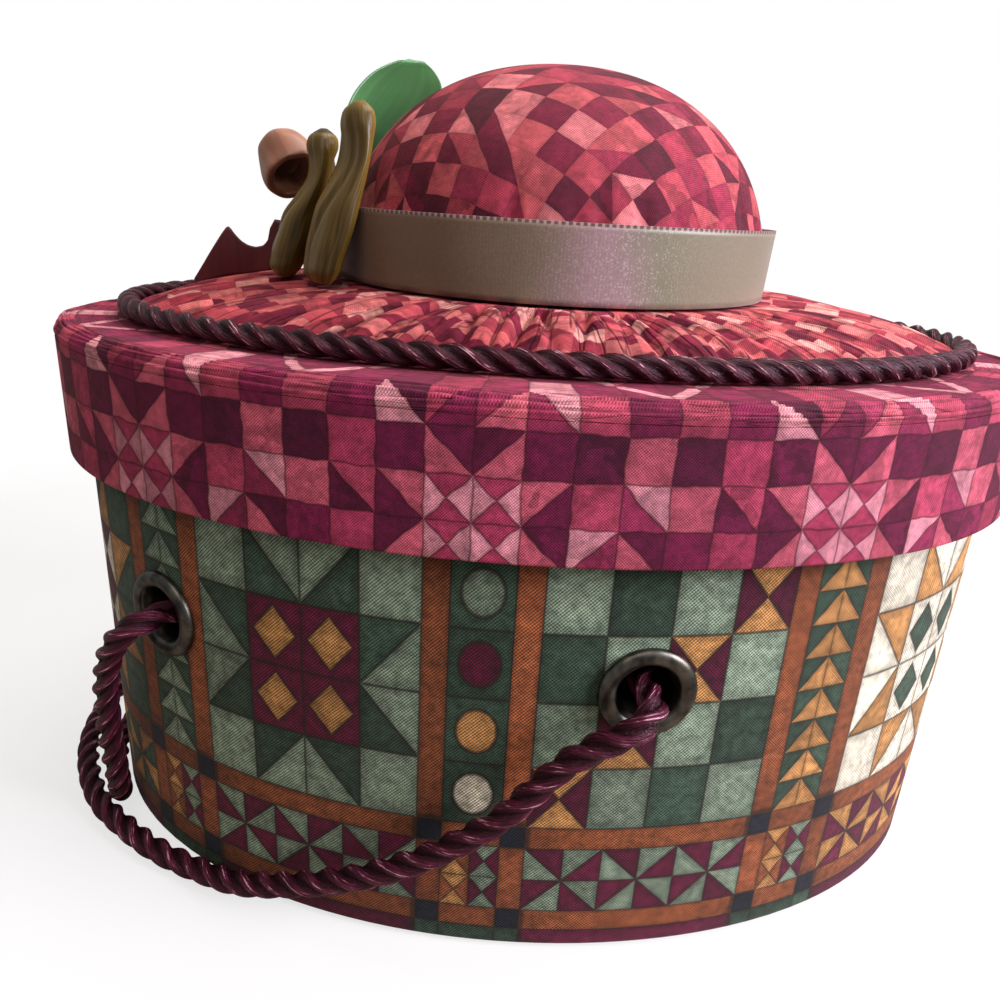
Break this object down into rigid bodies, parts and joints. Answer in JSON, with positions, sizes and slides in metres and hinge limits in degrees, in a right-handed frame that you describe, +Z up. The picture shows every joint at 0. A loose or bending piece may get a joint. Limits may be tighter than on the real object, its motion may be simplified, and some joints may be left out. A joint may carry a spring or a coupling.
{
  "type": "sewing basket",
  "caption": "Oval fabric-covered sewing basket with a hat-shaped lift-off lid, pincushion crown, ribbon bow, rope handle and lift-out tray.",
  "frame": {"origin": "centre of the basket's oval on the surface that it stands on", "axes": "+X along the oval's long axis, with the bow at the -X side of the crown; +Y from the front with the handle to the back; +Z up"},
  "size_m": [0.3172, 0.2026, 0.2373],
  "materials": {
    "grey_board": "matt grey-brown board",
    "printed_cotton": "twill cotton printed with a quilt sampler in sage, ochre, navy and burgundy",
    "patchwork_cotton": "cotton printed with small rose and burgundy patchwork",
    "lining_satin": "padded satin lining",
    "rayon_cord": "glossy twisted plum cord",
    "shot_satin_ribbon": "shot satin ribbon, olive with a pink sheen",
    "green_satin": "smooth green satin",
    "gold_organza": "folded olive-gold organza ribbon",
    "dusty_rose_satin": "rolled dusty rose satin",
    "dark_red_satin": "dark red satin",
    "antique_brass": "smooth antique brass",
    "cream_plastic": "smooth moulded cream plastic"
  },
  "bodies": {
    "basket": {"wall_board": "grey_board", "base_board": "grey_board", "outer_cover": "printed_cotton", "base_cover": "printed_cotton", "wall_lining": "lining_satin", "base_lining": "lining_satin", "eyelet_front_left": "antique_brass", "eyelet_front_right": "antique_brass", "eyelet_back_left": "antique_brass", "eyelet_back_right": "antique_brass", "washer_front_left": "antique_brass", "washer_front_right": "antique_brass", "washer_back_left": "antique_brass", "washer_back_right": "antique_brass", "handle_rope": "rayon_cord", "handle_knot_left": "rayon_cord", "handle_knot_right": "rayon_cord"},
    "lid": {"lid_top_board": "grey_board", "lid_wall_board": "grey_board", "lid_top_cover": "patchwork_cotton", "lid_band_cover": "patchwork_cotton", "lid_top_lining": "lining_satin", "lid_skirt_lining": "lining_satin", "brim_pad": "patchwork_cotton", "brim_cord": "rayon_cord", "crown_cushion": "patchwork_cotton", "hat_band": "shot_satin_ribbon", "bow_knot": "gold_organza", "bow_loop_inner": "gold_organza", "bow_loop_outer": "gold_organza", "bow_leaf": "green_satin", "rosette": "dusty_rose_satin", "ribbon_tail": "dark_red_satin"},
    "tray": {"tray": "cream_plastic"}
  },
  "joints": [
    {"name": "lid_lift", "type": "slide", "parent": "basket", "child": "lid", "axis": [0, 0, 1], "range_m": [0, 0.16]},
    {"name": "tray_lift", "type": "slide", "parent": "basket", "child": "tray", "axis": [0, 0, 1], "range_m": [0, 0.088]}
  ],
  "couplings": [
    {"joint": "tray_lift", "follows": "lid_lift", "ratio": 0.55}
  ]
}
